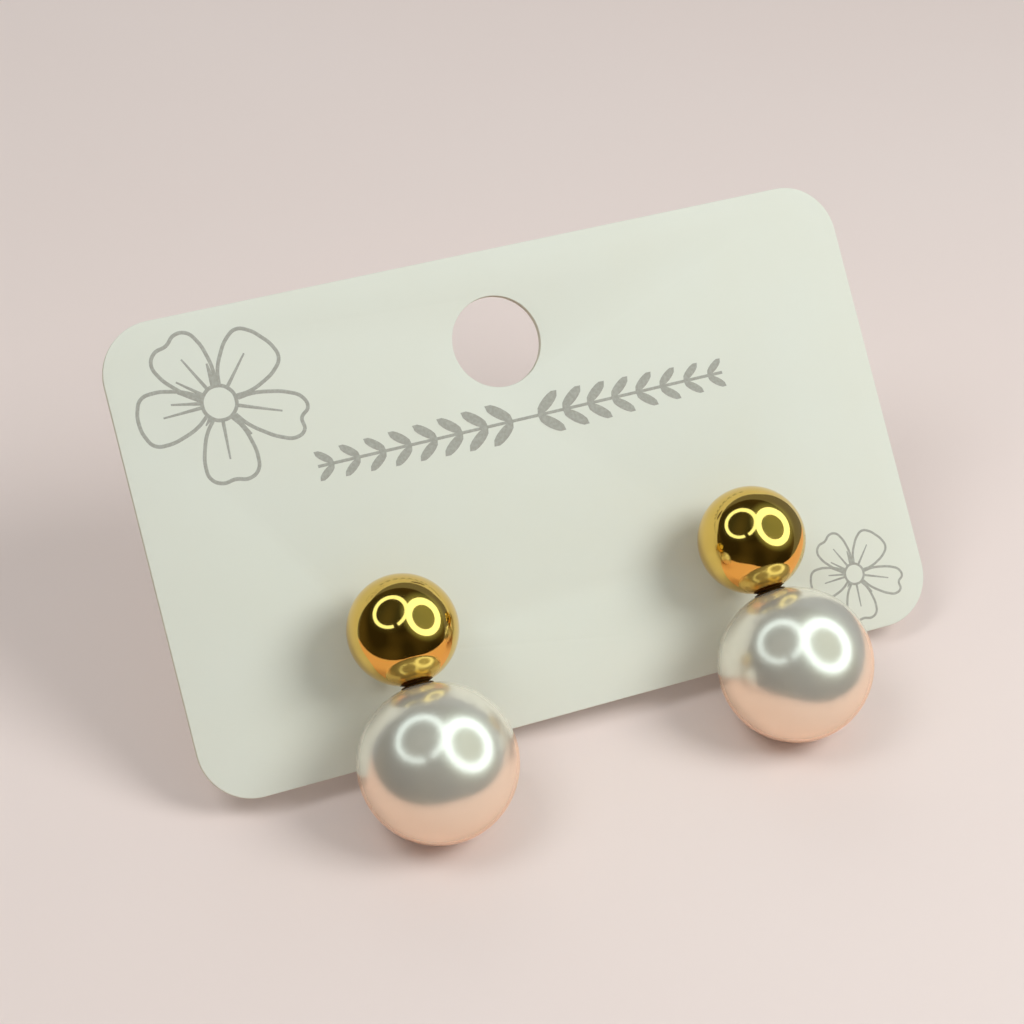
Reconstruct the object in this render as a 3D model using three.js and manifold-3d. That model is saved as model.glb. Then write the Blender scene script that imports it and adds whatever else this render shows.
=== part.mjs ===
// A pair of pearl drop earrings on their display card.
//
// Each earring is a polished ball on a post. A small collar and a peg soldered below the ball
// carry a half-drilled pearl. The posts go through the card and an ear nut holds each one
// from behind. The card leans back, so that the whole thing rests on the two pearls in front
// and on the tips of the two posts behind.

import * as THREE from 'three';
import { mergeVertices } from 'three/addons/utils/BufferGeometryUtils.js';
import Module from 'manifold-3d';

const wasm = await Module();
wasm.setup();

// Driving dimensions, in millimetres and degrees
const cardWidth = 51;
const cardHeight = 30.5;
const cardThickness = 0.5;
const cardCornerRadius = 3.5;
const hangHoleDiameter = 6;
const hangHoleBelowTop = 6;
const postHoleDiameter = 1.6;
const postHoleSpacing = 24;
const postHoleHeight = 7.4;

const ballDiameter = 7;
const ballToCard = 0.8;
const pearlDiameter = 10;
const pearlToCard = 0.3;
const swing = { left: -1.1, right: 2.6 };

const postDiameter = 0.9;
const postLength = 10;
const postGrooveDiameter = 0.7;
const postGrooveLength = 0.7;
const postGrooveFromTip = 1.2;
const collarDiameter = 2.1;
const pegDiameter = 0.7;
const pegDepth = 4;

const nutDiameter = 5;
const nutEndDiameter = 3.4;
const nutLength = 4.5;
const nutChamfer = 0.4;
const nutWaistDiameter = 4.2;

const clearance = 0.3;
const roundSides = 16;
const holeSides = 32;
const tipSteps = 3;

// Worked out from the driving dimensions
const ballRadius = ballDiameter / 2;
const pearlRadius = pearlDiameter / 2;
const postRadius = postDiameter / 2;
const collarRadius = collarDiameter / 2;
const nutBoreRadius = postRadius + clearance;

// The pearl hangs so close that the two round surfaces would just meet. The collar bridges
// them and ends level with the pearl's surface, where the drilled hole starts with a recess.
const dropLength = ballRadius + pearlRadius;
const collarSeat = Math.sqrt(pearlRadius ** 2 - collarRadius ** 2);
const recessRadius = collarRadius + clearance;
const recessFloor = collarSeat - clearance;
const drillRadius = pegDiameter / 2 + clearance;
const drillDepth = pegDepth + clearance;

// The pearl is the larger one and lies against the card, so the drop tilts outwards and
// the post, square to the drop, slopes down behind the card
const ballOut = ballRadius + ballToCard;
const pearlOut = pearlRadius + pearlToCard;
const tilt = Math.asin((pearlOut - ballOut) / dropLength);
const ballUp = postHoleHeight + ballOut * Math.tan(tilt);

// Seen from the side, as up the card (x) and out of its face (y): the pearl and the round
// post tip touch one straight line, which is the surface that the whole thing stands on
const ballCentre = new THREE.Vector2(ballUp, ballOut);
const pearlCentre = new THREE.Vector2(-Math.cos(tilt), Math.sin(tilt))
  .multiplyScalar(dropLength)
  .add(ballCentre);
const tipCentre = new THREE.Vector2(-Math.sin(tilt), -Math.cos(tilt))
  .multiplyScalar(ballRadius + postLength - postRadius)
  .add(ballCentre);
const tipToPearl = pearlCentre.clone().sub(tipCentre);
const lean = Math.acos((pearlRadius - postRadius) / tipToPearl.length())
  + Math.atan2(tipToPearl.x, tipToPearl.y);

// Materials
const cardStock = new THREE.MeshStandardMaterial({ color: 0xe9e8dc, roughness: 0.8, metalness: 0 });
const platedSteel = new THREE.MeshStandardMaterial({ color: 0xe3b64b, roughness: 0.06, metalness: 1 });
const pearlCoat = new THREE.MeshStandardMaterial({ color: 0xe9dfd8, roughness: 0.22, metalness: 0 });
const silicone = new THREE.MeshStandardMaterial({ color: 0xdcdcd6, roughness: 0.45, metalness: 0 });

// A closed geometry as a solid that can be joined and cut
function toSolid(geometry) {
  geometry.deleteAttribute('normal');
  geometry.deleteAttribute('uv');
  const welded = mergeVertices(geometry);
  const index = welded.index.array;
  const corners = [];
  for (let i = 0; i < index.length; i += 3) {
    const [a, b, c] = index.slice(i, i + 3);
    if (a !== b && b !== c && c !== a) corners.push(a, b, c);
  }
  return new wasm.Manifold(new wasm.Mesh({
    numProp: 3,
    vertProperties: welded.attributes.position.array,
    triVerts: new Uint32Array(corners),
  }));
}

// A joined or cut solid as a geometry
function toGeometry(solid) {
  const { vertProperties, triVerts } = solid.getMesh();
  const geometry = new THREE.BufferGeometry();
  geometry.setAttribute('position', new THREE.BufferAttribute(vertProperties, 3));
  geometry.setIndex(new THREE.BufferAttribute(triVerts, 1));
  geometry.computeVertexNormals();
  return geometry;
}

// A solid turned about Y from pairs of radius and height, listed upwards along its outside
function turned(pairs) {
  return new THREE.LatheGeometry(pairs.map(([radius, y]) => new THREE.Vector2(radius, y)), roundSides);
}

// A circular hole in a flat outline
function roundHole(x, y, diameter) {
  return new THREE.Path().absarc(x, y, diameter / 2, 0, 2 * Math.PI, true);
}

// The card: a rectangle with round corners, a hole to hang it by and one for each post.
// Its front face is at z = 0 and the middle of its lower edge is at the origin.
function makeCard() {
  const side = cardWidth / 2;
  const corner = cardCornerRadius;
  const outline = new THREE.Shape();
  outline.absarc(side - corner, corner, corner, -Math.PI / 2, 0);
  outline.absarc(side - corner, cardHeight - corner, corner, 0, Math.PI / 2);
  outline.absarc(corner - side, cardHeight - corner, corner, Math.PI / 2, Math.PI);
  outline.absarc(corner - side, corner, corner, Math.PI, 1.5 * Math.PI);
  outline.holes.push(
    roundHole(0, cardHeight - hangHoleBelowTop, hangHoleDiameter),
    roundHole(-postHoleSpacing / 2, postHoleHeight, postHoleDiameter),
    roundHole(postHoleSpacing / 2, postHoleHeight, postHoleDiameter),
  );
  const geometry = new THREE.ExtrudeGeometry(outline, {
    depth: cardThickness,
    bevelEnabled: false,
    curveSegments: holeSides / 4,
  });
  geometry.translate(0, 0, -cardThickness);
  return geometry;
}

// Ball, collar, peg and post, soldered into one piece. The ball is centred on the origin, the
// drop goes down along -Y and the post back along -Z.
function makeBallStud() {
  const ball = toSolid(new THREE.SphereGeometry(ballRadius, roundSides, roundSides / 2));
  const pegEnd = -ballRadius - pegDepth;
  const collarEnd = collarSeat - dropLength;
  const collarAndPeg = toSolid(turned([
    [0, pegEnd],
    [pegDiameter / 2, pegEnd],
    [pegDiameter / 2, collarEnd],
    [collarRadius, collarEnd],
    [collarRadius, -ballRadius / 2],
    [0, -ballRadius / 2],
  ]));
  return toGeometry(ball.add(collarAndPeg).add(toSolid(makePost())));
}

// The post, from inside the ball to its rounded tip, with the groove that the nut snaps into
function makePost() {
  const root = -ballRadius / 2;
  const tip = -ballRadius - postLength;
  const profile = [];
  for (let step = 0; step <= tipSteps; step += 1) {
    const angle = (step / tipSteps) * (Math.PI / 2);
    profile.push([postRadius * Math.sin(angle), tip + postRadius * (1 - Math.cos(angle))]);
  }
  const grooveStart = tip + postGrooveFromTip;
  profile.push(
    [postRadius, grooveStart],
    [postGrooveDiameter / 2, grooveStart + postGrooveLength / 3],
    [postGrooveDiameter / 2, grooveStart + postGrooveLength * 2 / 3],
    [postRadius, grooveStart + postGrooveLength],
    [postRadius, root],
    [0, root],
  );
  return turned(profile).rotateX(Math.PI / 2);
}

// The pearl, with the recess for the collar and the blind hole for the peg in its top
function makePearl() {
  const profile = [];
  const rimAngle = Math.acos(recessRadius / pearlRadius);
  const steps = roundSides / 2;
  for (let step = 0; step <= steps; step += 1) {
    const angle = THREE.MathUtils.lerp(-Math.PI / 2, rimAngle, step / steps);
    profile.push([pearlRadius * Math.cos(angle), pearlRadius * Math.sin(angle)]);
  }
  profile.push(
    [recessRadius, recessFloor],
    [drillRadius, recessFloor],
    [drillRadius, pearlRadius - drillDepth],
    [0, pearlRadius - drillDepth],
  );
  return turned(profile);
}

// The ear nut: a plain turned plug with a waist, a bore for the post and a domed end.
// Its flat front is at z = 0 and it reaches back along -Z.
function makeEarNut() {
  const outer = nutDiameter / 2;
  const end = nutEndDiameter / 2;
  const waist = nutWaistDiameter / 2;
  return turned([
    [nutBoreRadius, -nutLength],
    [end - nutChamfer, -nutLength],
    [end, -nutLength + nutChamfer],
    [waist, -nutLength / 2],
    [outer, -nutLength / 2 + nutChamfer],
    [outer, -nutChamfer],
    [outer - nutChamfer, 0],
    [nutBoreRadius, 0],
    [nutBoreRadius, -nutLength],
  ]).rotateX(Math.PI / 2);
}

function named(name, geometry, material) {
  const mesh = new THREE.Mesh(geometry, material);
  mesh.name = name;
  return mesh;
}

// The nut's flat front clears the back of the card, which the post meets at a slant
const nutFront = -(ballOut + cardThickness + clearance) / Math.cos(tilt)
  - (nutDiameter / 2) * Math.tan(tilt);

// One earring with its nut, centred on its ball
function makeEarring(side) {
  const earring = new THREE.Group();
  const pearl = named(`pearl_${side}`, makePearl(), pearlCoat);
  pearl.position.y = -dropLength;
  const nut = named(`ear_nut_${side}`, makeEarNut(), silicone);
  nut.position.z = nutFront;
  earring.add(named(`ball_stud_${side}`, makeBallStud(), platedSteel), pearl, nut);
  earring.rotation.set(-tilt, 0, THREE.MathUtils.degToRad(swing[side]));
  earring.position.set((side === 'left' ? -1 : 1) * postHoleSpacing / 2, ballUp, ballOut);
  return earring;
}

// The card with both earrings on it, leaning back
const display = new THREE.Group();
display.add(named('card', makeCard(), cardStock), makeEarring('left'), makeEarring('right'));
display.rotation.x = lean;

// The origin is on the surface that it stands on, under the middle of the whole thing
const pair = new THREE.Group();
pair.add(display);
const extent = new THREE.Box3().setFromObject(pair, true);
display.position.set(0, -(extent.min.y + extent.max.y) / 2, -extent.min.z);

export default pair;
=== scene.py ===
"""A pair of pearl drop earrings on their display card, with the finish of every surface.

Each earring is a polished ball with a half-drilled pearl pegged right below it on a small
collar. Its post goes through the card, and an ear nut holds it from behind. The pieces stand in
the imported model's frame, in metres, and the sidebar panel holds their main sizes and colours.
"""

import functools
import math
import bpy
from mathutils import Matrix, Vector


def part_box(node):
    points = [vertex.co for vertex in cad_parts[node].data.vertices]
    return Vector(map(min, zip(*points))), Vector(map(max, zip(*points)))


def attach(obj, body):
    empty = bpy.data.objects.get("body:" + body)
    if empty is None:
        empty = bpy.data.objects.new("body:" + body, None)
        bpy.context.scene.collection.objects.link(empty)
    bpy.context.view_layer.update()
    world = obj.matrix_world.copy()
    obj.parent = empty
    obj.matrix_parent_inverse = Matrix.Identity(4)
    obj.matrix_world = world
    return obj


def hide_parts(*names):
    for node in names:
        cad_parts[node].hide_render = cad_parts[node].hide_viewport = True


bl_info = {
    "name": "Pearl Drop Earrings on a Card",
    "version": (1, 0, 0),
    "blender": (4, 5, 0),
    "location": "3D View > Sidebar > Earrings",
    "description": "Models a pair of pearl drop earrings on a display card, with a small photo studio",
    "category": "Add Mesh",
}

import bmesh
import bpy
from mathutils import Matrix, Vector

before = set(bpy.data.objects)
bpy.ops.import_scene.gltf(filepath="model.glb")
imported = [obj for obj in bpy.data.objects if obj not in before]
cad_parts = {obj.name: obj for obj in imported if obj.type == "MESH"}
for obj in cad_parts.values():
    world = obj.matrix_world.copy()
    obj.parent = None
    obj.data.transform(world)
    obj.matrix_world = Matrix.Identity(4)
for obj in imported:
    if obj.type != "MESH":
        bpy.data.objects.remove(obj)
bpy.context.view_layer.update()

MM = 0.001
SIDES = {"left": -1, "right": 1}
SPHERE_SIDES = 144
SPHERE_RINGS = 96
WELD_DISTANCE = 0.0005 * MM


# Colour and shape helpers


def linear(hex_code):
    """The linear colour of an sRGB hex code."""
    channels = [int(hex_code[i:i + 2], 16) / 255 for i in (1, 3, 5)]
    return [c / 12.92 if c <= 0.04045 else ((c + 0.055) / 1.055) ** 2.4 for c in channels] + [1.0]


def tinted(colour, shares):
    """A linear colour with its red, green and blue each taken down to a share."""
    return [channel * share for channel, share in zip(colour, shares)] + [1.0]


def mixed(first, second, share):
    """A linear colour this share of the way from one to another."""
    return [a + share * (b - a) for a, b in zip(first, second)]


def deselect():
    """Leaves nothing selected, in object mode."""
    if bpy.context.object and bpy.context.object.mode != "OBJECT":
        bpy.ops.object.mode_set(mode="OBJECT")
    bpy.ops.object.select_all(action="DESELECT")


def make_active(piece):
    """Selects one object alone and makes it active."""
    deselect()
    piece.select_set(True)
    bpy.context.view_layer.objects.active = piece


def start_piece(name):
    """Names the primitive that was just added and opens it in edit mode, selected all over."""
    piece = bpy.context.object
    piece.name = name
    piece.data.name = name
    bpy.ops.object.mode_set(mode="EDIT")
    bpy.ops.mesh.select_mode(type="VERT")
    bpy.ops.mesh.select_all(action="SELECT")
    return piece


def select_in_edit(piece, test, kind="verts"):
    """Selects the parts of an open mesh that pass a test, and nothing else."""
    bpy.ops.mesh.select_mode(type={"verts": "VERT", "edges": "EDGE", "faces": "FACE"}[kind])
    bpy.ops.mesh.select_all(action="DESELECT")
    mesh = bmesh.from_edit_mesh(piece.data)
    for part in getattr(mesh, kind):
        if test(part):
            part.select_set(True)
    mesh.select_flush_mode()
    bmesh.update_edit_mesh(piece.data)


def draw_rings(start, rings):
    """Draws the selected ring of edges on through each (radius, height) in turn, round the Z axis."""
    last_radius, last_height = start
    for radius, height in rings:
        bpy.ops.mesh.extrude_region_move(TRANSFORM_OT_translate={"value": (0, 0, height - last_height)})
        share = radius / last_radius
        bpy.ops.transform.resize(value=(share, share, 1), center_override=(0, 0, height))
        last_radius, last_height = radius, height


def open_sphere(name, radius, opening, pole):
    """A sphere opened at its upper (1) or lower (-1) pole, and its selected rim's radius and height."""
    deselect()
    bpy.ops.mesh.primitive_uv_sphere_add(segments=SPHERE_SIDES, ring_count=SPHERE_RINGS, radius=radius)
    sphere = start_piece(name)
    step = math.pi / SPHERE_RINGS
    bend = math.ceil(math.asin(opening / radius) / step) * step
    height = radius * math.cos(bend)
    select_in_edit(sphere, lambda v: pole * v.co.z > height + WELD_DISTANCE)
    bpy.ops.mesh.delete(type="VERT")
    select_in_edit(sphere, lambda e: e.is_boundary, "edges")
    return sphere, (radius * math.sin(bend), pole * height)


def apply_modifier(piece, kind, **settings):
    """Adds a modifier with its settings and applies it."""
    make_active(piece)
    modifier = piece.modifiers.new(kind.title(), kind)
    for setting, value in settings.items():
        setattr(modifier, setting, value)
    bpy.ops.object.modifier_apply(modifier=modifier.name)


def close_seams(piece):
    """Merges doubled points and turns every face outwards."""
    make_active(piece)
    bpy.ops.object.mode_set(mode="EDIT")
    bpy.ops.mesh.select_all(action="SELECT")
    bpy.ops.mesh.remove_doubles(threshold=WELD_DISTANCE)
    bpy.ops.mesh.normals_make_consistent(inside=False)
    bpy.ops.object.mode_set(mode="OBJECT")


def put_in_place(piece, place=Matrix()):
    """Moves a mesh from where it was made to its place, which is then kept in the mesh."""
    make_active(piece)
    bpy.context.view_layer.update()
    piece.matrix_world = place @ piece.matrix_world
    bpy.ops.object.transform_apply(location=True, rotation=True, scale=True)


def join_pieces(pieces, name):
    """Joins pieces into one object."""
    make_active(pieces[0])
    for piece in pieces:
        piece.select_set(True)
    bpy.ops.object.join()
    pieces[0].name = name
    return pieces[0]


def finish_piece(piece, name, replaces, smooth_degrees=35):
    """Smooths a placed piece, names it, hangs it on the root body and hides the imported parts it
    replaces.
    """
    make_active(piece)
    bpy.ops.object.shade_smooth_by_angle(angle=math.radians(smooth_degrees))
    piece.name = name
    piece.data.name = name
    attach(piece, "root")
    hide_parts(*replaces)


def place_copies(pattern, place_on, name, node, smooth_degrees):
    """Finishes a copy of a piece in its place on each side, and takes the pattern away."""
    for side in SIDES:
        piece = pattern.copy()
        piece.data = pattern.data.copy()
        bpy.context.scene.collection.objects.link(piece)
        put_in_place(piece, place_on(side))
        finish_piece(piece, f"{name}_{side}", [f"{node}_{side}"], smooth_degrees)
    bpy.data.objects.remove(pattern)


# Material helpers


def add_node(tree, kind, inputs=None, **settings):
    """Adds a node with its settings. An input is a value, or a node or one of its outputs to link."""
    node = tree.nodes.new(kind)
    for setting, value in settings.items():
        setattr(node, setting, value)
    for socket, value in (inputs or {}).items():
        if isinstance(value, bpy.types.Node):
            value = value.outputs[0]
        if isinstance(value, bpy.types.NodeSocket):
            tree.links.new(value, node.inputs[socket])
        else:
            node.inputs[socket].default_value = value
    return node


def per_metre(size_mm):
    """The texture scale that makes a pattern's features about this many millimetres wide."""
    return 1 / (size_mm * MM)


def new_material(name):
    """An empty material, add_node for its tree and the object coordinates that patterns follow."""
    material = bpy.data.materials.new(name)
    material.use_nodes = True
    material.node_tree.nodes.clear()
    add = functools.partial(add_node, material.node_tree)
    place = add("ShaderNodeTexCoord").outputs["Object"]
    return material, add, place


def give_materials(piece, *materials):
    """Gives a piece these materials in place of any others."""
    piece.data.materials.clear()
    for material in materials:
        piece.data.materials.append(material)


# Sizes and colours


def length(name, description, default_mm):
    """A size in the sidebar panel, given in millimetres and kept in metres."""
    return bpy.props.FloatProperty(
        name=name, description=description, default=default_mm * MM, min=0, precision=5, unit="LENGTH")


def angle(name, description, default_degrees):
    """An angle in the sidebar panel, given in degrees."""
    return bpy.props.FloatProperty(
        name=name, description=description, default=math.radians(default_degrees), subtype="ANGLE")


def watts(name, default_watts):
    """The power of a light in the sidebar panel."""
    return bpy.props.FloatProperty(
        name=name, description="Watts", default=default_watts, min=0, unit="POWER")


def colour(name, description, hex_code):
    """A colour in the sidebar panel."""
    return bpy.props.FloatVectorProperty(
        name=name, description=description, default=linear(hex_code), size=4, min=0, max=1,
        subtype="COLOR")


class DisplayCardSettings(bpy.types.PropertyGroup):
    """Sizes and colours of the card."""

    width: length("Width", "Across the card", 51)
    height: length("Height", "Up the card", 30.5)
    thickness: length("Thickness", "Of the card stock", 0.5)
    corner_radius: length("Corner radius", "Of the four rounded corners", 3.5)
    hang_hole: length("Hang hole", "Diameter of the hole to hang the card by", 6)
    hang_hole_below_top: length("Hang hole below top", "Upper edge to the middle of the hole", 6)
    post_hole: length("Post hole", "Diameter of the hole for each post", 1.6)
    post_spacing: length("Post spacing", "Between the two post holes", 24)
    post_height: length("Post height", "Lower edge to the post holes", 7.4)
    edge_rounding: length("Edge rounding", "Where the cutting die pressed the face down", 0.06)
    ink_film: length("Ink film", "How far the printing stands on the card", 0.012)
    face: colour("Face", "Smooth side of the card stock", "#E4E4D8")
    cut_edge: colour("Cut edge", "Bare fibre where the card was cut", "#E4DCCB")
    ink: colour("Ink", "Grey of the printed ornaments", "#A6A297")


class EarringSettings(bpy.types.PropertyGroup):
    """Sizes and colours of the two earrings."""

    ball: length("Ball", "Diameter of the polished ball", 7)
    ball_to_card: length("Ball to card", "Gap between the ball and the card's face", 0.8)
    pearl: length("Pearl", "Diameter of the pearl", 10)
    pearl_to_card: length("Pearl to card", "Gap between the pearl and the card's face", 0.3)
    swing_left: angle("Swing left", "How far the left drop hangs to one side", -1.1)
    swing_right: angle("Swing right", "How far the right drop hangs to one side", 2.6)
    collar: length("Collar", "Diameter of the collar between ball and pearl", 2.1)
    peg: length("Peg", "Diameter of the peg that the pearl is cemented on", 0.7)
    peg_depth: length("Peg depth", "How far the peg goes into the pearl", 4)
    post: length("Post", "Diameter of the post", 0.9)
    post_length: length("Post length", "Ball to the tip of the post", 10)
    groove: length("Groove", "Diameter of the post in its groove", 0.7)
    groove_length: length("Groove length", "Along the post", 0.7)
    groove_from_tip: length("Groove from tip", "Tip of the post to its groove", 1.2)
    nut: length("Nut", "Diameter of the ear nut's front", 5)
    nut_waist: length("Nut waist", "Diameter of the ear nut's middle", 4.2)
    nut_end: length("Nut end", "Diameter of the ear nut's back end", 3.4)
    nut_length: length("Nut length", "Along the post", 4.5)
    clearance: length("Clearance", "Between a hole and what goes through it", 0.3)
    gold: colour("Gold", "Plating of the ball and post", "#E7C268")
    # The two seam browns are painted shade: they darken the collar where the gap between ball and pearl
    # lies in shadow
    seam_shade_deep: colour("Dark seam", "Collar under the most polishing residue", "#5C3A12")
    seam_shade_light: colour("Light seam", "Collar under the least polishing residue", "#8E6527")
    pearl_body: colour("Pearl body", "Lacquered pearl coating", "#F2EDE1")
    silicone: colour("Silicone", "Ear nuts", "#ECECE6")


class StudioSettings(bpy.types.PropertyGroup):
    """The floor, the lights and the camera."""

    floor: colour("Floor", "Plain pale floor", "#F1DDD6")
    daylight: colour("Daylight", "Tint of every soft light", "#F9FFFF")
    lamp_light: colour("Lamp light", "Tint of the two ring lights", "#E9FDFF")
    glare: colour("Glare", "Tint of the haze over and round the ring lights", "#E6FFD8")
    sheet: colour("Sheet", "Rosy sheet that only mirrors see", "#FFCDB2")
    room: colour("Room", "Tint of the unlit room that only mirrors see", "#FFE59C")
    key_power: watts("Key light", 0.3)
    fill_power: watts("Fill light", 0.16)
    rear_power: watts("Rear light", 0.1)
    surroundings: bpy.props.FloatProperty(
        name="Surroundings", description="Strength of the soft light all round", default=0.335, min=0)
    lens: bpy.props.FloatProperty(
        name="Lens", description="Focal length in millimetres", default=87.0, min=1, unit="CAMERA")


# Where everything stands


class Layout:
    """Places that follow from the sizes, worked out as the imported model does."""

    def __init__(self, scene):
        card = scene.display_card
        earring = scene.pearl_earrings
        self.ball_radius = earring.ball / 2
        self.pearl_radius = earring.pearl / 2
        self.post_radius = earring.post / 2
        self.drill_radius = earring.peg / 2 + earring.clearance
        self.drop_length = self.ball_radius + self.pearl_radius

        # The pearl is the larger one and lies closer to the card, so the drop tilts outwards
        ball_out = self.ball_radius + earring.ball_to_card
        pearl_out = self.pearl_radius + earring.pearl_to_card
        tilt = math.asin((pearl_out - ball_out) / self.drop_length)
        ball_up = card.post_height + ball_out * math.tan(tilt)

        # Side view, up the card and out of its face: the card leans back on the pearls and post tips
        ball_centre = Vector((ball_up, ball_out))
        pearl_centre = ball_centre + self.drop_length * Vector((-math.cos(tilt), math.sin(tilt)))
        tip_reach = self.ball_radius + earring.post_length - self.post_radius
        tip_centre = ball_centre - tip_reach * Vector((math.sin(tilt), math.cos(tilt)))
        tip_to_pearl = pearl_centre - tip_centre
        self.lean = (math.acos((self.pearl_radius - self.post_radius) / tip_to_pearl.length)
                     + math.atan2(tip_to_pearl.x, tip_to_pearl.y))

        # The lowest edge of the card's back and the hindmost edge of its front fix it in the frame
        low_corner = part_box("card")[0]
        lift = Vector((0, low_corner.y, low_corner.z + card.thickness * math.cos(self.lean)))
        self.card_place = Matrix.Translation(lift) @ Matrix.Rotation(self.lean, 4, "X")

        self.nut_front = (-(ball_out + card.thickness + earring.clearance) / math.cos(tilt)
                          - earring.nut / 2 * math.tan(tilt))
        swings = {"left": earring.swing_left, "right": earring.swing_right}
        self.ball_place = {
            side: self.card_place
            @ Matrix.Translation((sign * card.post_spacing / 2, ball_up, ball_out))
            @ Matrix.Rotation(-tilt, 4, "X")
            @ Matrix.Rotation(swings[side], 4, "Z")
            for side, sign in SIDES.items()
        }

    def drop_place(self, side):
        """The ball's centre, with Z up the drop."""
        return self.ball_place[side] @ Matrix.Rotation(-math.pi / 2, 4, "X")

    def pearl_place(self, side):
        """The pearl's centre, with Z up the drop."""
        return self.drop_place(side) @ Matrix.Translation((0, 0, -self.drop_length))

    def nut_place(self, side):
        """The middle of the ear nut's flat front, with Z back along the post."""
        post_place = self.ball_place[side] @ Matrix.Rotation(math.pi, 4, "X")
        return post_place @ Matrix.Translation((0, 0, -self.nut_front))


# Materials of the card


def card_face_material(card, lean):
    """Coated card stock, smooth pressed: matt, with the faintest clouding and a fibre tooth."""
    material, add, place = new_material("coated_card_stock")
    flat = add("ShaderNodeMapping", {"Vector": place, "Rotation": (-lean, 0, 0)})
    clouds = add("ShaderNodeTexNoise", {"Vector": flat, "Scale": per_metre(7), "Detail": 3.0})
    warm = tinted(card.face, (0.985, 0.965, 0.93))
    shade = add("ShaderNodeMix", {0: clouds, 6: card.face[:], 7: warm}, data_type="RGBA")
    # Paper fibre is about 0.03 mm wide and 1 mm long, drawn at 0.12 mm so that it shows
    along = add("ShaderNodeMapping", {"Vector": flat, "Scale": (0.25, 1, 1)})
    fibre = add("ShaderNodeTexNoise", {
        "Vector": along, "Scale": per_metre(0.12), "Detail": 4.0, "Roughness": 0.6})
    tooth = add("ShaderNodeBump", {"Height": fibre, "Strength": 0.4, "Distance": 0.01 * MM})
    gloss = add("ShaderNodeMapRange", {"Value": fibre, "To Min": 0.62, "To Max": 0.74})
    shader = add("ShaderNodeBsdfPrincipled", {
        "Base Color": shade.outputs[2],
        "Roughness": gloss,
        "Specular IOR Level": 0.35,
        "Normal": tooth,
    })
    add("ShaderNodeOutputMaterial", {"Surface": shader})
    return material


def cut_edge_material(card, lean):
    """Die-cut edge of the card stock: bare fibre in layers, rougher and warmer than the face."""
    material, add, place = new_material("die_cut_card_edge")
    flat = add("ShaderNodeMapping", {"Vector": place, "Rotation": (-lean, 0, 0)})
    # The layers of the board are about 0.1 mm thick
    along = add("ShaderNodeMapping", {"Vector": flat, "Scale": (0.08, 0.08, 1)})
    layers = add("ShaderNodeTexNoise", {"Vector": along, "Scale": per_metre(0.1), "Detail": 3.0})
    dark = tinted(card.cut_edge, (0.86, 0.83, 0.78))
    shade = add("ShaderNodeMix", {0: layers, 6: card.cut_edge[:], 7: dark}, data_type="RGBA")
    fuzz = add("ShaderNodeBump", {"Height": layers, "Strength": 0.6, "Distance": 0.02 * MM})
    shader = add("ShaderNodeBsdfPrincipled", {
        "Base Color": shade.outputs[2],
        "Roughness": 0.9,
        "Specular IOR Level": 0.2,
        "Normal": fuzz,
    })
    add("ShaderNodeOutputMaterial", {"Surface": shader})
    return material


def ink_material(card):
    """Grey offset ink: thin and half matt, slightly uneven where the card's tooth takes less of it."""
    material, add, place = new_material("grey_offset_ink")
    # The halftone and tooth are about 0.1 mm, drawn at 0.2 mm so that they show
    grain = add("ShaderNodeTexNoise", {"Vector": place, "Scale": per_metre(0.2), "Detail": 3.0})
    thin = mixed(card.ink, card.face, 0.2)
    cover = add("ShaderNodeMapRange", {"Value": grain, "From Min": 0.4, "From Max": 0.75})
    shade = add("ShaderNodeMix", {0: cover, 6: card.ink[:], 7: thin}, data_type="RGBA")
    shader = add("ShaderNodeBsdfPrincipled", {
        "Base Color": shade.outputs[2],
        "Roughness": 0.6,
        "Specular IOR Level": 0.35,
    })
    add("ShaderNodeOutputMaterial", {"Surface": shader})
    return material


# Materials of the earrings


def gold_material(earring):
    """Gold plating on barrel-polished steel: a clean mirror, faintly wavy, with fine hair scratches."""
    material, add, place = new_material("gold_plated_steel_polished")
    # Polishing leaves the surface wavy over about 2 mm, which bends the edges of reflections
    wave = add("ShaderNodeTexNoise", {"Vector": place, "Scale": per_metre(1.8), "Detail": 1.5})
    waves = add("ShaderNodeBump", {"Height": wave, "Strength": 0.5, "Distance": 0.012 * MM})
    # Hair scratches are a few microns wide, drawn at 0.06 mm so that they show
    along = add("ShaderNodeMapping", {
        "Vector": place, "Rotation": (0.5, 0.9, 0.3), "Scale": (0.04, 1, 1)})
    hair = add("ShaderNodeTexNoise", {"Vector": along, "Scale": per_metre(0.06)})
    haze = add("ShaderNodeMapRange", {
        "Value": hair, "From Min": 0.58, "From Max": 0.78, "To Min": 0.07, "To Max": 0.14})
    shader = add("ShaderNodeBsdfPrincipled", {
        "Base Color": earring.gold[:],
        "Metallic": 1.0,
        "Roughness": haze,
        "Normal": waves,
    })
    add("ShaderNodeOutputMaterial", {"Surface": shader})
    return material


def seam_material(earring):
    """Plating of collar and peg, dull where the polishing wheel can't reach, and dark brown as painted
    shade of the shadowed gap between ball and pearl.
    """
    material, add, place = new_material("unpolished_plating")
    # The painted shade varies in patches of about 0.25 mm
    patches = add("ShaderNodeTexNoise", {"Vector": place, "Scale": per_metre(0.25), "Detail": 3.0})
    shade = add("ShaderNodeMix", {
        0: patches, 6: earring.seam_shade_deep[:], 7: earring.seam_shade_light[:]}, data_type="RGBA")
    shader = add("ShaderNodeBsdfPrincipled", {
        "Base Color": shade.outputs[2],
        "Metallic": 0.8,
        "Roughness": 0.5,
    })
    add("ShaderNodeOutputMaterial", {"Surface": shader})
    return material


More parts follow.
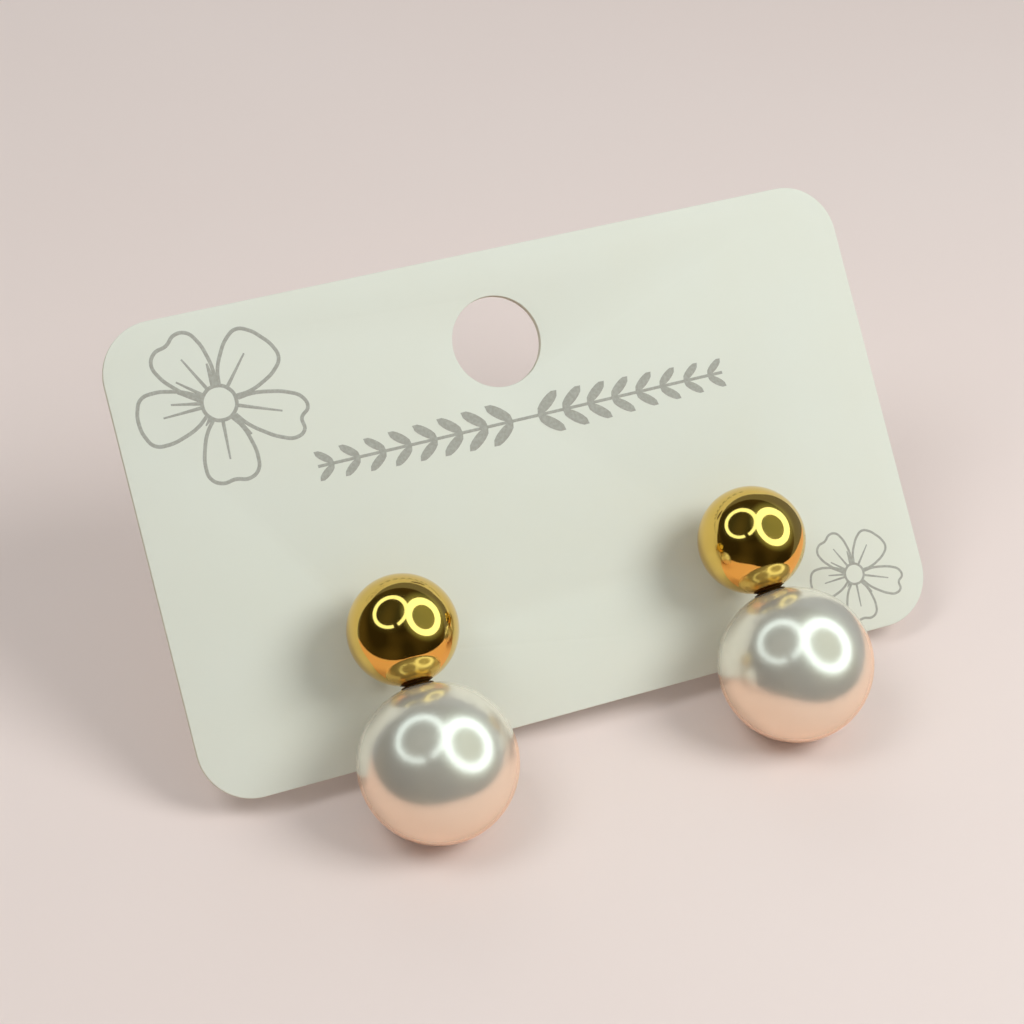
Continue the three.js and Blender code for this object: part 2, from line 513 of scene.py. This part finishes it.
def pearl_material(earring):
    """Imitation pearl, dipped in coats of fish-scale lacquer: silky deep gloss under a clear coat."""
    material, add, place = new_material("dipped_pearl_lacquer")
    clouds = add("ShaderNodeTexNoise", {"Vector": place, "Scale": per_metre(3)})
    rosy = tinted(earring.pearl_body, (1.0, 0.965, 0.95))
    body = add("ShaderNodeMix", {0: clouds, 6: earring.pearl_body[:], 7: rosy}, data_type="RGBA")
    # The dipped coats have a fine orange peel of about 0.3 mm
    peel = add("ShaderNodeTexNoise", {"Vector": place, "Scale": per_metre(0.3)})
    ripple = add("ShaderNodeBump", {"Height": peel, "Strength": 0.3, "Distance": 0.004 * MM})
    shader = add("ShaderNodeBsdfPrincipled", {
        "Base Color": body.outputs[2],
        "Metallic": 0.62,
        "Roughness": 0.24,
        "Coat Weight": 0.4,
        "Coat Roughness": 0.08,
        "Normal": ripple,
    })
    add("ShaderNodeOutputMaterial", {"Surface": shader})
    return material


def silicone_material(earring):
    """Moulded silicone rubber: milky and half clear, with a soft satin skin."""
    material, add, place = new_material("moulded_silicone")
    milk = add("ShaderNodeTexNoise", {"Vector": place, "Scale": per_metre(1.5)})
    satin = add("ShaderNodeMapRange", {"Value": milk, "To Min": 0.3, "To Max": 0.45})
    skin = add("ShaderNodeBump", {"Height": milk, "Strength": 0.3, "Distance": 0.02 * MM})
    shader = add("ShaderNodeBsdfPrincipled", {
        "Base Color": earring.silicone[:],
        "Roughness": satin,
        "IOR": 1.41,
        "Transmission Weight": 0.55,
        "Normal": skin,
    })
    add("ShaderNodeOutputMaterial", {"Surface": shader})
    return material


# The card and its printing


class EARRINGS_OT_card(bpy.types.Operator):
    """Die-cut card with rounded corners, a hang hole and two post holes"""

    bl_idname = "earrings.card"
    bl_label = "Display card"

    def execute(self, context):
        card = context.scene.display_card
        layout = Layout(context.scene)
        middle = (0, card.height / 2, -card.thickness)
        deselect()
        bpy.ops.mesh.primitive_plane_add(size=1, location=middle)
        blank = start_piece("card_blank")
        bpy.ops.transform.resize(value=(card.width, card.height, 1), center_override=middle)
        bpy.ops.mesh.bevel(affect="VERTICES", offset=card.corner_radius, segments=14)
        bpy.ops.mesh.extrude_region_move(TRANSFORM_OT_translate={"value": (0, 0, card.thickness)})
        put_in_place(blank)
        close_seams(blank)

        holes = [(0, card.height - card.hang_hole_below_top, card.hang_hole)]
        for sign in SIDES.values():
            holes.append((sign * card.post_spacing / 2, card.post_height, card.post_hole))
        for x, y, diameter in holes:
            deselect()
            bpy.ops.mesh.primitive_cylinder_add(
                vertices=72, radius=diameter / 2, depth=4 * card.thickness, location=(x, y, 0))
            punch = bpy.context.object
            apply_modifier(blank, "BOOLEAN", object=punch, operation="DIFFERENCE", solver="EXACT")
            bpy.data.objects.remove(punch)
        apply_modifier(blank, "BEVEL", width=card.edge_rounding, segments=3, limit_method="ANGLE",
                       angle_limit=math.radians(50))

        lean = layout.lean
        give_materials(blank, card_face_material(card, lean), cut_edge_material(card, lean))
        # The flatter part of the pressed rounding keeps the smooth finish of the face
        steepest_smooth = 0.6
        for face in blank.data.polygons:
            face.material_index = 0 if abs(face.normal.z) > steepest_smooth else 1
        put_in_place(blank, layout.card_place)
        finish_piece(blank, "die_cut_card", ["card"])
        return {"FINISHED"}


def ink_stroke(points, width, closed=False, taper=1.0):
    """One printed line through flat points, as a mesh. A taper under 1 narrows its far end."""
    bpy.ops.curve.primitive_bezier_curve_add()
    curve = bpy.context.object.data
    curve.splines.clear()
    spline = curve.splines.new("BEZIER")
    spline.bezier_points.add(len(points) - 1)
    for index, (knot, (x, y)) in enumerate(zip(spline.bezier_points, points)):
        knot.co = (x, y, 0)
        knot.handle_left_type = knot.handle_right_type = "AUTO"
        knot.radius = 1 + (taper - 1) * index / max(1, len(points) - 1)
    spline.use_cyclic_u = closed
    spline.resolution_u = 8
    curve.bevel_depth = width / 2
    curve.bevel_resolution = 1
    curve.use_fill_caps = True
    bpy.ops.object.convert(target="MESH")
    return bpy.context.object


# One side of a printed petal: shares of its length along, and of its half width across
PETAL_SIDE = ((0.20, 0.36), (0.34, 0.66), (0.53, 0.88), (0.76, 1.00), (0.92, 0.90), (1.00, 0.52))
# The notch is how far the middle of the petal's end is drawn in, as a share of its length
PETALS = (
    {"degrees": 44, "length_mm": 4.95, "half_width_mm": 1.80, "notch": -0.02, "veins": (6,)},
    {"degrees": 120, "length_mm": 5.00, "half_width_mm": 1.68, "notch": 0.03, "veins": (-2, 22)},
    {"degrees": 183, "length_mm": 5.10, "half_width_mm": 1.68, "notch": -0.03, "veins": (0, -13)},
    {"degrees": 268, "length_mm": 5.00, "half_width_mm": 1.70, "notch": 0.02, "veins": (-1,)},
    {"degrees": 337.5, "length_mm": 5.60, "half_width_mm": 1.45, "notch": 0.05, "veins": (3,)},
)
# Where two petals meet, the ink runs together in a wedge
PETAL_WEDGES = (
    {"degrees": 6, "end_mm": 2.4, "width_mm": 0.30},
    {"degrees": 94, "end_mm": 2.6, "width_mm": 0.45},
    {"degrees": 154, "end_mm": 2.7, "width_mm": 0.60},
    {"degrees": 226, "end_mm": 1.7, "width_mm": 0.30},
    {"degrees": 303, "end_mm": 2.8, "width_mm": 0.45},
)
WEDGE_TAPER = 0.3
# A petal's first vein ends at this share of its length, and its second one this much sooner
VEIN_END = 0.72
VEIN_SOONER = 0.12
VEIN_TAPER = 0.5
EYE_MM = 1.1
EYE_KNOTS = 8
FLOWERS = (
    {"across_mm": -18.75, "up_mm": 24.5, "size": 1.0, "line_mm": 0.24},
    {"across_mm": 20.45, "up_mm": 3.95, "size": 0.62, "line_mm": 0.26},
)
SPRIG = {
    "across_mm": 0.6,
    "up_mm": 19.2,
    "half_length_mm": 14.2,
    "line_mm": 0.2,
    "leaf_mm": 2.1,
    "leaf_spacing_mm": 1.75,
    "leaf_degrees": 38,
}
# Shares of a leaf's length, and of the first leaf's size that is lost towards the stem's end
LEAF_HALF_WIDTH = 0.17
LEAF_SHRINK = 0.35
# How much higher than the last each stroke stands, as a share of the ink film
STROKE_RISE = 0.02


def around(radius, degrees):
    """A flat point at this distance and direction from the origin."""
    return (radius * math.cos(math.radians(degrees)), radius * math.sin(math.radians(degrees)))


def press_and_join(strokes, film, name):
    """Presses strokes flat and joins them. Each stands a hair higher, so that no faces coincide."""
    for number, stroke in enumerate(strokes):
        thickness = film * (1 + STROKE_RISE * number)
        for vertex in stroke.data.vertices:
            vertex.co.z = math.copysign(thickness, vertex.co.z) if abs(vertex.co.z) > film else 0
    return join_pieces(strokes, name)


def print_flower(line, film):
    """A five-petal line flower of full size, centred on the origin."""
    eye = EYE_MM * MM
    circle = [around(eye, 360 * knot / EYE_KNOTS) for knot in range(EYE_KNOTS)]
    strokes = [ink_stroke(circle, line, closed=True)]
    for petal in PETALS:
        reach = petal["length_mm"] * MM
        half = petal["half_width_mm"] * MM
        side = [(along * reach, across * half) for along, across in PETAL_SIDE]
        tip = [((1 - petal["notch"]) * reach, 0)]
        other = [(x, -y) for x, y in reversed(side)]
        outline = ink_stroke(side + tip + other, line)
        put_in_place(outline, Matrix.Rotation(math.radians(petal["degrees"]), 4, "Z"))
        strokes.append(outline)
        for number, turn in enumerate(petal["veins"]):
            towards = petal["degrees"] + turn
            end = reach * (VEIN_END - VEIN_SOONER * number)
            ends = [around(eye, towards), around(end, towards)]
            strokes.append(ink_stroke(ends, line, taper=VEIN_TAPER))
    for wedge in PETAL_WEDGES:
        ends = [around(eye, wedge["degrees"]), around(wedge["end_mm"] * MM, wedge["degrees"])]
        strokes.append(ink_stroke(ends, wedge["width_mm"] * MM, taper=WEDGE_TAPER))
    return press_and_join(strokes, film, "flower")


def print_leaf(leaf_length):
    """A small solid leaf from the origin along X, ready to be pressed flat with the lines."""
    half_width = leaf_length * LEAF_HALF_WIDTH
    bpy.ops.mesh.primitive_circle_add(vertices=16, radius=1, fill_type="NGON")
    leaf = start_piece("leaf")
    bpy.ops.transform.resize(value=(leaf_length / 2, half_width, 1))
    bpy.ops.transform.translate(value=(leaf_length / 2, 0, -half_width / 2))
    # The corners near both ends are drawn in, which makes the ends pointed
    near_end, narrowed = 0.42, 0.45
    select_in_edit(leaf, lambda v: abs(v.co.x / leaf_length - 0.5) > near_end)
    bpy.ops.transform.resize(value=(1, narrowed, 1), center_override=(leaf_length / 2, 0, 0))
    bpy.ops.mesh.select_all(action="SELECT")
    bpy.ops.mesh.extrude_region_move(TRANSFORM_OT_translate={"value": (0, 0, half_width)})
    put_in_place(leaf)
    return leaf


def print_sprig(film):
    """A thin stem with pairs of solid leaves that point away from its middle, at the origin."""
    half_length = SPRIG["half_length_mm"] * MM
    line = SPRIG["line_mm"] * MM
    spacing = SPRIG["leaf_spacing_mm"] * MM
    sprig = [ink_stroke([(-half_length, 0), (half_length, 0)], line)]
    pairs = int(half_length / spacing)
    for direction in (-1, 1):
        for number in range(pairs):
            size = 1 - LEAF_SHRINK * number / pairs
            base = direction * spacing * (number + 0.5)
            for up in (-1, 1):
                leaf = print_leaf(SPRIG["leaf_mm"] * MM * size)
                turn = SPRIG["leaf_degrees"] * up
                if direction < 0:
                    turn = 180 - turn
                foot = Matrix.Translation((base, up * line / 4, 0))
                put_in_place(leaf, foot @ Matrix.Rotation(math.radians(turn), 4, "Z"))
                sprig.append(leaf)
    return press_and_join(sprig, film, "sprig")


class EARRINGS_OT_card_print(bpy.types.Operator):
    """Grey line flowers in two corners and a leafy line between them"""

    bl_idname = "earrings.card_print"
    bl_label = "Printed ornaments"

    def execute(self, context):
        card = context.scene.display_card
        layout = Layout(context.scene)
        deselect()
        sprig = print_sprig(card.ink_film)
        put_in_place(sprig, Matrix.Translation((SPRIG["across_mm"] * MM, SPRIG["up_mm"] * MM, 0)))
        prints = [sprig]
        for row in FLOWERS:
            flower = print_flower(row["line_mm"] * MM, card.ink_film)
            middle = Matrix.Translation((row["across_mm"] * MM, row["up_mm"] * MM, 0))
            put_in_place(flower, middle @ Matrix.Scale(row["size"], 4))
            prints.append(flower)
        printing = join_pieces(prints, "printing")
        give_materials(printing, ink_material(card))
        put_in_place(printing, layout.card_place)
        close_seams(printing)
        finish_piece(printing, "card_printing", [])
        return {"FINISHED"}


# The earrings


class EARRINGS_OT_ball_studs(bpy.types.Operator):
    """Polished ball with its collar, peg and post, soldered into one piece"""

    bl_idname = "earrings.ball_studs"
    bl_label = "Ball studs"

    def execute(self, context):
        earring = context.scene.pearl_earrings
        layout = Layout(context.scene)
        stud = self.ball_and_peg(earring, layout)
        post = self.post(earring, layout)
        apply_modifier(stud, "BOOLEAN", object=post, operation="UNION", solver="EXACT")
        bpy.data.objects.remove(post)
        give_materials(stud, gold_material(earring), seam_material(earring))
        # The collar and peg below the ball take the seam's painted shade
        collar_top = -math.sqrt(layout.ball_radius ** 2 - (earring.collar / 2) ** 2)
        for face in stud.data.polygons:
            middle = face.center
            below_ball = middle.z < collar_top and middle.y < layout.ball_radius
            face.material_index = 1 if below_ball else 0
        place_copies(stud, layout.drop_place, "polished_stud", "ball_stud", 30)
        return {"FINISHED"}

    def ball_and_peg(self, earring, layout):
        """The ball, opened at its lower pole and drawn down into the collar and the peg."""
        radius = layout.ball_radius
        pearl = layout.pearl_radius
        collar = earring.collar / 2
        peg = earring.peg / 2
        solder = 0.05 * MM
        lip = 0.03 * MM
        groove = 0.3 * MM
        ball, rim = open_sphere("ball", radius, collar + solder, -1)

        def pearl_height(r, gap):
            """Height above the ball's centre of the pearl's surface, at radius r."""
            return -layout.drop_length + math.sqrt((pearl + gap) ** 2 - r ** 2)

        # A turned groove runs round the collar, so deep and narrow that it looks dark
        top = -math.sqrt(radius ** 2 - collar ** 2)
        bottom = pearl_height(collar, lip)
        half_way_in = collar * 0.7
        peg_end = -radius - earring.peg_depth
        draw_rings(rim, [
            (collar, top),
            (collar - groove, (top + bottom) / 2),
            (collar, bottom + lip),
            (collar - lip, pearl_height(collar - lip, lip)),
            (half_way_in, pearl_height(half_way_in, lip)),
            (peg + lip, pearl_height(peg + lip, lip)),
            (peg, pearl_height(peg, 0) - lip),
            (peg, peg_end + lip),
            (peg - lip, peg_end),
        ])
        bpy.ops.mesh.edge_face_add()
        close_seams(ball)
        return ball

    def post(self, earring, layout):
        """The post, drawn from a foot of solder inside the ball to its rounded tip."""
        radius = layout.post_radius
        # The solder, as a share of the post's radius and millimetres past the ball's surface
        solder = ((1.5, -0.12), (1.2, 0.03), (1.05, 0.12), (1, 0.25))
        foot_radius = radius * solder[0][0]
        foot = layout.ball_radius - 0.9 * MM
        tip = layout.ball_radius + earring.post_length
        tip_steps = 8
        groove = tip - earring.groove_from_tip
        ramp = 0.12 * MM
        deselect()
        bpy.ops.mesh.primitive_circle_add(
            vertices=48, radius=foot_radius, fill_type="NGON", location=(0, 0, foot))
        post = start_piece("post")
        rings = [(radius * share, layout.ball_radius + past * MM) for share, past in solder]
        rings += [
            (radius, groove - earring.groove_length),
            (earring.groove / 2, groove - earring.groove_length + ramp),
            (earring.groove / 2, groove - ramp),
            (radius, groove),
        ]
        for step in range(1, tip_steps):
            bend = step / tip_steps * math.pi / 2
            rings.append((radius * math.cos(bend), tip - radius * (1 - math.sin(bend))))
        draw_rings((foot_radius, foot), rings)
        # From the post's own axis to the drop's: back along the post is the drop's +Y
        put_in_place(post, Matrix.Rotation(-math.pi / 2, 4, "X"))
        close_seams(post)
        return post


class EARRINGS_OT_pearls(bpy.types.Operator):
    """Half-drilled pearls on the pegs of the studs"""

    bl_idname = "earrings.pearls"
    bl_label = "Pearls"

    def execute(self, context):
        earring = context.scene.pearl_earrings
        layout = Layout(context.scene)
        radius = layout.pearl_radius
        hole = layout.drill_radius
        mouth = 1.05 * hole
        chamfer = 0.05 * MM
        floor = radius - earring.peg_depth - earring.clearance
        floor_radius = hole * 0.85
        pearl, rim = open_sphere("pearl", radius, mouth, 1)
        draw_rings(rim, [
            (hole, math.sqrt(radius ** 2 - hole ** 2) - chamfer),
            (hole, floor + 2 * chamfer),
            (floor_radius, floor),
        ])
        bpy.ops.mesh.edge_face_add()
        close_seams(pearl)
        give_materials(pearl, pearl_material(earring))
        place_copies(pearl, layout.pearl_place, "drilled_pearl", "pearl", 30)
        return {"FINISHED"}


class EARRINGS_OT_ear_nuts(bpy.types.Operator):
    """Silicone ear nuts on the posts behind the card"""

    bl_idname = "earrings.ear_nuts"
    bl_label = "Ear nuts"

    def execute(self, context):
        earring = context.scene.pearl_earrings
        layout = Layout(context.scene)
        front = earring.nut / 2
        waist = earring.nut_waist / 2
        end = earring.nut_end / 2
        back = earring.nut_length
        bore = layout.post_radius + earring.clearance
        round_off = 0.4 * MM
        front_corner = 0.12 * MM
        waist_corner = 0.15 * MM
        end_corner = 0.1 * MM
        edge_rounding = 0.08 * MM
        deselect()
        bpy.ops.mesh.primitive_circle_add(vertices=64, radius=bore)
        nut = start_piece("nut")
        draw_rings((bore, 0), [
            (front - round_off, 0),
            (front - front_corner, front_corner),
            (front, round_off),
            (front, back / 2 - round_off),
            (front - waist_corner, back / 2 - waist_corner),
            (waist, back / 2),
            (end + end_corner, back - 2 * round_off),
            (end - end_corner / 2, back - round_off),
            (end - round_off, back),
            (bore + end_corner, back),
            (bore, back - end_corner),
            (bore, 0),
        ])
        close_seams(nut)
        apply_modifier(nut, "BEVEL", width=edge_rounding, segments=3, limit_method="ANGLE",
                       angle_limit=math.radians(25))
        give_materials(nut, silicone_material(earring))
        place_copies(nut, layout.nut_place, "silicone_nut", "ear_nut", 40)
        return {"FINISHED"}


# The studio


RING_LIGHTS = (
    {"name": "ring_light_left", "centre_mm": (-127.2, -11.2, 244.3), "facing": (111.5, -67.8),
     "radius_mm": 181, "band": 0.25, "gap": (339, 356), "strength": 1.9, "haze": 0.03},
    {"name": "ring_light_right", "centre_mm": (121.2, -111.0, 183.0), "facing": (-65.6, -46.3),
     "radius_mm": 182, "band": 0.42, "gap": None, "strength": 2.2, "haze": 0.28},
)
SOFT_LIGHTS = (
    {"name": "soft_light_left", "place_mm": (-127, -11, 244), "size_mm": 127, "power": "fill_power"},
    {"name": "soft_light_right", "place_mm": (121, -111, 183), "size_mm": 127, "power": "key_power"},
    {"name": "soft_light_rear", "place_mm": (40, 240, 170), "size_mm": 220, "power": "rear_power"},
)
SOFT_LIGHTS_AIM_MM = (0, 0, 12)
# How far the haze over a ring light stays even, fades out and is cut off, as shares of its radius
HALO_EVEN = 0.8
HALO_GONE = 1.65
HALO_EDGE = 1.7
# The share of the surroundings' light that mirrors see
MIRRORED_SHARE = 0.6
FLOOR_MM = 2400
REFLECTED_SHEET = {"place_mm": (-0.5, 4.3, 0.03), "size_mm": 81, "corner_mm": 12, "turn_degrees": 31.9}
# The unlit room reaches from behind the camera to a little behind the object
ROOM_RADIUS_MM = 800
ROOM_BEHIND_MM = 80
CAMERA = {
    "place_mm": (-50.591, -110.774, 112.494),
    "aim_mm": (-1.882, 3.215, 11.559),
    "roll_degrees": 1.291,
}


def glow_material(name, tint, strength):
    """A plain light source."""
    material, add, _ = new_material(name)
    glow = add("ShaderNodeEmission", {"Color": tint[:], "Strength": strength})
    add("ShaderNodeOutputMaterial", {"Surface": glow})
    return material


def halo_material(name, tint, radius, strength):
    """The glare of a lamp: even inside its ring, fading out past it, and added to what lies behind."""
    material, add, place = new_material(name)
    reach = add("ShaderNodeVectorMath", {0: place}, operation="LENGTH").outputs["Value"]
    fade = add("ShaderNodeMapRange", {
        "Value": reach,
        "From Min": HALO_EVEN * radius,
        "From Max": HALO_GONE * radius,
        "To Min": strength,
        "To Max": 0.0,
    }, interpolation_type="SMOOTHSTEP")
    glare = add("ShaderNodeEmission", {"Color": tint[:], "Strength": fade})
    clear = add("ShaderNodeBsdfTransparent")
    both = add("ShaderNodeAddShader", {0: glare, 1: clear})
    add("ShaderNodeOutputMaterial", {"Surface": both})
    return material


def stage_in_reflections(piece):
    """Stages a prop in mirrors alone: it lights nothing, shades nothing and isn't seen itself."""
    piece.visible_camera = False
    piece.visible_diffuse = False
    piece.visible_shadow = False
    piece.visible_transmission = False
    piece.visible_volume_scatter = False


def facing_place(centre, azimuth, elevation):
    """A place whose Z faces the given way, with X level."""
    azimuth, elevation = math.radians(azimuth), math.radians(elevation)
    out = Vector((math.cos(elevation) * math.sin(azimuth),
                  math.cos(elevation) * math.cos(azimuth),
                  math.sin(elevation)))
    across = out.cross(Vector((0, 0, 1))).normalized()
    up = out.cross(across)
    turn = Matrix((across, up, out)).transposed().to_4x4()
    return Matrix.Translation(centre) @ turn


class EARRINGS_OT_studio(bpy.types.Operator):
    """Pale floor, ring lights, soft light and the camera"""

    bl_idname = "earrings.studio"
    bl_label = "Studio"

    def execute(self, context):
        studio = context.scene.studio
        self.floor(studio)
        self.reflected_sheet(studio)
        self.dark_room(studio)
        for ring in RING_LIGHTS:
            self.ring_light(ring, studio)
        self.soft_lights(studio)
        self.surroundings(context.scene, studio)
        self.camera(context.scene, studio)
        context.scene.view_settings.view_transform = "Standard"
        return {"FINISHED"}

    def floor(self, studio):
        """A wide plain floor that mirrors don't see, because they see the sheet on it."""
        deselect()
        bpy.ops.mesh.primitive_grid_add(x_subdivisions=2, y_subdivisions=2, size=FLOOR_MM * MM)
        floor = bpy.context.object
        floor.name = "studio_floor"
        material, add, place = new_material("pale_matt_floor")
        cloud = add("ShaderNodeTexNoise", {"Vector": place, "Scale": per_metre(60)})
        lighter = mixed(studio.floor, (1, 1, 1, 1), 0.15)
        shade = add("ShaderNodeMix", {0: cloud, 6: studio.floor[:], 7: lighter}, data_type="RGBA")
        shader = add("ShaderNodeBsdfPrincipled", {
            "Base Color": shade.outputs[2], "Roughness": 0.9, "Specular IOR Level": 0.1})
        add("ShaderNodeOutputMaterial", {"Surface": shader})
        floor.data.materials.append(material)
        floor.visible_glossy = False

    def reflected_sheet(self, studio):
        """A small rosy sheet that only mirrors see, where the floor would be endless to them."""
        place = [c * MM for c in REFLECTED_SHEET["place_mm"]]
        deselect()
        bpy.ops.mesh.primitive_plane_add(size=REFLECTED_SHEET["size_mm"] * MM, location=place)
        sheet = start_piece("reflected_sheet")
        bpy.ops.mesh.bevel(affect="VERTICES", offset=REFLECTED_SHEET["corner_mm"] * MM, segments=10)
        bpy.ops.object.mode_set(mode="OBJECT")
        sheet.rotation_euler.z = math.radians(REFLECTED_SHEET["turn_degrees"])
        material, add, _ = new_material("rosy_matt_sheet")
        shader = add("ShaderNodeBsdfDiffuse", {"Color": studio.sheet[:]})
        add("ShaderNodeOutputMaterial", {"Surface": shader})
        sheet.data.materials.append(material)
        stage_in_reflections(sheet)

    def dark_room(self, studio):
        """The unlit room round the camera, as polished metal shows it."""
        toward_camera = (Vector(CAMERA["place_mm"]) - Vector(CAMERA["aim_mm"])).normalized()
        cut = toward_camera * -(ROOM_BEHIND_MM * MM)
        deselect()
        bpy.ops.mesh.primitive_uv_sphere_add(segments=48, ring_count=24, radius=ROOM_RADIUS_MM * MM)
        room = start_piece("dark_room")
        bpy.ops.mesh.bisect(plane_co=cut, plane_no=toward_camera, clear_inner=True)
        bpy.ops.object.mode_set(mode="OBJECT")
        material, add, place = new_material("unlit_room")
        cloud = add("ShaderNodeTexNoise", {"Vector": place, "Scale": per_metre(625), "Detail": 0.0})
        faint = add("ShaderNodeMapRange", {
            "Value": cloud, "From Min": 0.35, "From Max": 0.65, "To Min": 0.03, "To Max": 0.085})
        glow = add("ShaderNodeEmission", {"Color": studio.room[:], "Strength": faint})
        add("ShaderNodeOutputMaterial", {"Surface": glow})
        room.data.materials.append(material)
        stage_in_reflections(room)

    def ring_light(self, ring, studio):
        """A flat glowing ring with a faint haze over and round it, which only mirrors see."""
        radius = ring["radius_mm"] * MM
        deselect()
        bpy.ops.mesh.primitive_circle_add(vertices=180, radius=radius)
        band = start_piece(ring["name"])
        draw_rings((radius, 0), [(radius * (1 - ring["band"]), 0)])
        if ring["gap"]:
            low, high = ring["gap"]

            def in_gap(face):
                middle = face.calc_center_median()
                return low < math.degrees(math.atan2(middle.y, middle.x)) % 360 < high

            select_in_edit(band, in_gap, "faces")
            bpy.ops.mesh.delete(type="FACE")
        band.data.materials.append(glow_material(ring["name"], studio.lamp_light, ring["strength"]))
        deselect()
        bpy.ops.mesh.primitive_circle_add(vertices=90, radius=HALO_EDGE * radius, fill_type="NGON")
        halo = bpy.context.object
        halo.name = ring["name"] + "_halo"
        halo.data.materials.append(halo_material(halo.name, studio.glare, radius, ring["haze"]))
        stand = facing_place(Vector(ring["centre_mm"]) * MM, *ring["facing"])
        band.matrix_world = stand
        halo.matrix_world = stand @ Matrix.Translation((0, 0, -1 * MM))
        stage_in_reflections(band)
        stage_in_reflections(halo)

    def soft_lights(self, studio):
        """Soft lights that mirrors don't see: two where the ring lights stand, and one behind."""
        for row in SOFT_LIGHTS:
            place = Vector(row["place_mm"]) * MM
            deselect()
            bpy.ops.object.light_add(type="AREA", location=place)
            light = bpy.context.object
            light.name = row["name"]
            light.data.shape = "DISK"
            light.data.size = row["size_mm"] * MM
            light.data.energy = getattr(studio, row["power"])
            light.data.color = studio.daylight[:3]
            aim = Vector(SOFT_LIGHTS_AIM_MM) * MM - place
            light.rotation_euler = aim.to_track_quat("-Z", "Y").to_euler()
            light.visible_glossy = False

    def surroundings(self, scene, studio):
        """Even pale surroundings, which mirrors see darker."""
        world = bpy.data.worlds.new("pale_surroundings")
        scene.world = world
        world.use_nodes = True
        world.node_tree.nodes.clear()
        add = functools.partial(add_node, world.node_tree)
        path = add("ShaderNodeLightPath")
        strength = add("ShaderNodeMapRange", {
            "Value": path.outputs["Is Glossy Ray"],
            "To Min": studio.surroundings,
            "To Max": MIRRORED_SHARE * studio.surroundings,
        })
        light = add("ShaderNodeBackground", {"Color": studio.daylight[:], "Strength": strength})
        add("ShaderNodeOutputWorld", {"Surface": light})

    def camera(self, scene, studio):
        """The camera, at the photograph's angle."""
        place = Vector(CAMERA["place_mm"]) * MM
        aim = Vector(CAMERA["aim_mm"]) * MM
        deselect()
        bpy.ops.object.camera_add(location=place)
        camera = bpy.context.object
        camera.name = "camera"
        turn = (aim - place).to_track_quat("-Z", "Y").to_matrix()
        roll = Matrix.Rotation(math.radians(CAMERA["roll_degrees"]), 3, "Z")
        camera.rotation_euler = (turn @ roll).to_euler()
        camera.data.lens = studio.lens
        camera.data.clip_start = 5 * MM
        camera.data.clip_end = 10
        scene.camera = camera


class EARRINGS_PT_panel(bpy.types.Panel):
    """Sizes and colours of the card, the earrings and the studio"""

    bl_idname = "EARRINGS_PT_panel"
    bl_label = "Pearl earrings"
    bl_space_type = "VIEW_3D"
    bl_region_type = "UI"
    bl_category = "Earrings"

    def draw(self, context):
        for name, (_, *operators) in SECTIONS.items():
            settings = getattr(context.scene, name)
            box = self.layout.box()
            box.label(text=name.replace("_", " ").capitalize())
            for setting in settings.bl_rna.properties.keys():
                if setting not in ("rna_type", "name"):
                    box.prop(settings, setting)
            for operator in operators:
                box.operator(operator.bl_idname)


# The scene's settings: name, class and the operators that use them
SECTIONS = {
    "display_card": (DisplayCardSettings, EARRINGS_OT_card, EARRINGS_OT_card_print),
    "pearl_earrings": (EarringSettings, EARRINGS_OT_ball_studs, EARRINGS_OT_pearls, EARRINGS_OT_ear_nuts),
    "studio": (StudioSettings, EARRINGS_OT_studio),
}
CLASSES = (*sum(SECTIONS.values(), ()), EARRINGS_PT_panel)


def register():
    for cls in CLASSES:
        bpy.utils.register_class(cls)
    for name, (settings, *_) in SECTIONS.items():
        setattr(bpy.types.Scene, name, bpy.props.PointerProperty(type=settings))


def unregister():
    for name in SECTIONS:
        delattr(bpy.types.Scene, name)
    for cls in reversed(CLASSES):
        bpy.utils.unregister_class(cls)


def main():
    register()
    bpy.ops.earrings.card()
    bpy.ops.earrings.card_print()
    bpy.ops.earrings.ball_studs()
    bpy.ops.earrings.pearls()
    bpy.ops.earrings.ear_nuts()
    bpy.ops.earrings.studio()


if __name__ == "__main__":
    main()
